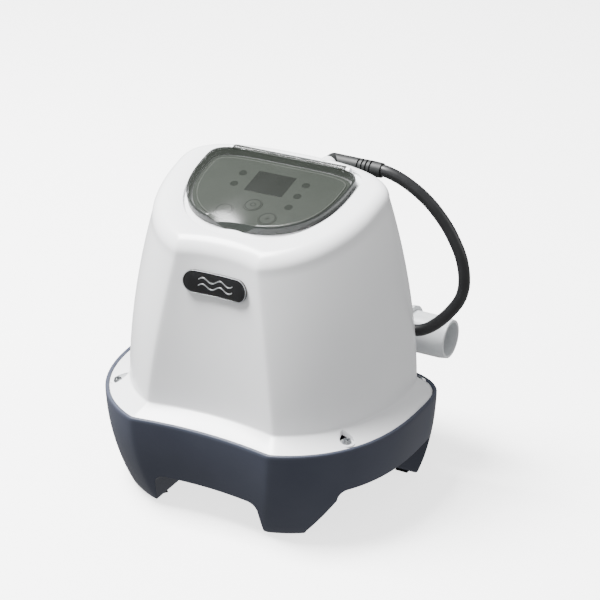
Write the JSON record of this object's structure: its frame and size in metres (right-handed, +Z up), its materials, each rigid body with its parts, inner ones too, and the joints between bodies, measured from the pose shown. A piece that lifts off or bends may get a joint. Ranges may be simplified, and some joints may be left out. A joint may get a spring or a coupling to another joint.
{
  "type": "salt chlorine generator",
  "caption": "Pool salt chlorine generator: a tapered housing with a lidded control panel on a four-legged base, and a hose-line flow cell with its lead behind.",
  "frame": {"origin": "on the ground, below the middle of the unit's overall width and depth without the lead", "axes": "+Z up; the control panel and badge face -Y; the hose line runs along X"},
  "size_m": [0.2578, 0.2126, 0.2459],
  "materials": {
    "base_tray": "moulded polypropylene, fine satin, dark slate blue",
    "rubber_feet": "moulded rubber, matt",
    "upper_housing": "moulded ABS, gloss white",
    "steel": "bright plated steel",
    "badge_plate": "gloss black plate with a thin pale border, blank",
    "panel_fascia": "grey-green film over moulded ABS",
    "display_window": "dark tinted acrylic",
    "led_lens": "dark tinted acrylic",
    "button": "grey-green film over moulded ABS",
    "display_module": "black plastic",
    "circuit_board": "green solder mask",
    "tact_switches": "black plastic",
    "panel_lid": "smoky translucent polycarbonate, gloss",
    "transformer_core": "varnished steel laminations",
    "transformer_winding": "enamelled copper wire",
    "heat_sink": "extruded aluminium",
    "mains_gland": "black nylon",
    "lead_socket": "black nylon",
    "lead_plug": "moulded soft PVC, satin dark grey",
    "cell_lead": "extruded PVC jacket, satin black",
    "lead_gland": "moulded soft PVC",
    "terminal_cap": "moulded ABS, dark grey",
    "cell_vessel": "moulded PVC, light grey",
    "electrode_plates": "coated titanium",
    "electrode_carrier": "moulded polypropylene",
    "flow_sensor": "moulded ABS, dark grey",
    "flow_paddle": "moulded acetal, off-white",
    "cell_bracket": "moulded polypropylene, dark slate blue",
    "clamp_straps": "moulded nylon, dark grey",
    "union_nut": "moulded ABS, dark grey",
    "seal": "black EPDM rubber",
    "hose_adaptor": "moulded PVC, pale grey"
  },
  "bodies": {
    "unit": {"base_tray": "base_tray", "rubber_feet": "rubber_feet", "upper_housing": "upper_housing", "housing_screws": "steel", "badge_plate": "badge_plate", "panel_fascia": "panel_fascia", "display_window": "display_window", "led_lens_1": "led_lens", "led_lens_2": "led_lens", "led_lens_3": "led_lens", "led_lens_4": "led_lens", "led_lens_5": "led_lens", "display_module": "display_module", "control_board": "circuit_board", "tact_switches": "tact_switches", "board_screws": "steel", "hinge_pins": "steel", "transformer_core": "transformer_core", "transformer_winding": "transformer_winding", "power_board": "circuit_board", "heat_sink": "heat_sink", "mains_gland": "mains_gland", "lead_socket": "lead_socket", "lead_plug": "lead_plug", "cell_lead": "cell_lead", "lead_gland": "lead_gland", "terminal_cap": "terminal_cap", "cell_vessel": "cell_vessel", "electrode_plates": "electrode_plates", "electrode_carrier": "electrode_carrier", "flow_sensor": "flow_sensor", "paddle_pin": "steel", "cell_bracket": "cell_bracket", "clamp_straps": "clamp_straps", "clamp_screws": "steel", "seal_left": "seal", "seal_right": "seal", "hose_adaptor_left": "hose_adaptor", "hose_adaptor_right": "hose_adaptor"},
    "lid": {"panel_lid": "panel_lid"},
    "button_left": {"button_left": "button"},
    "button_centre": {"button_centre": "button"},
    "button_right": {"button_right": "button"},
    "flow_paddle": {"flow_paddle": "flow_paddle"},
    "nut_left": {"union_nut_left": "union_nut"},
    "nut_right": {"union_nut_right": "union_nut"}
  },
  "joints": [
    {"name": "lid_hinge", "type": "hinge", "parent": "unit", "child": "lid", "pos_m": [0, 0.02884, 0.24253], "axis": [-1, 0, 0], "range_deg": [0, 104]},
    {"name": "button_left_press", "type": "slide", "parent": "unit", "child": "button_left", "axis": [0, 0.2756, -0.9613], "range_m": [0, 0.0009], "stiffness_N_per_m": 900},
    {"name": "button_centre_press", "type": "slide", "parent": "unit", "child": "button_centre", "axis": [0, 0.2756, -0.9613], "range_m": [0, 0.0009], "stiffness_N_per_m": 900},
    {"name": "button_right_press", "type": "slide", "parent": "unit", "child": "button_right", "axis": [0, 0.2756, -0.9613], "range_m": [0, 0.0009], "stiffness_N_per_m": 900},
    {"name": "flow_paddle_swing", "type": "hinge", "parent": "unit", "child": "flow_paddle", "pos_m": [-0.026, 0.08, 0.114], "axis": [0, -1, 0], "range_deg": [0, 32]},
    {"name": "union_nut_left_turn", "type": "hinge", "parent": "unit", "child": "nut_left", "pos_m": [-0.055, 0.08, 0.099], "axis": [-1, 0, 0], "continuous": true},
    {"name": "union_nut_right_turn", "type": "hinge", "parent": "unit", "child": "nut_right", "pos_m": [0.055, 0.08, 0.099], "axis": [1, 0, 0], "continuous": true}
  ]
}
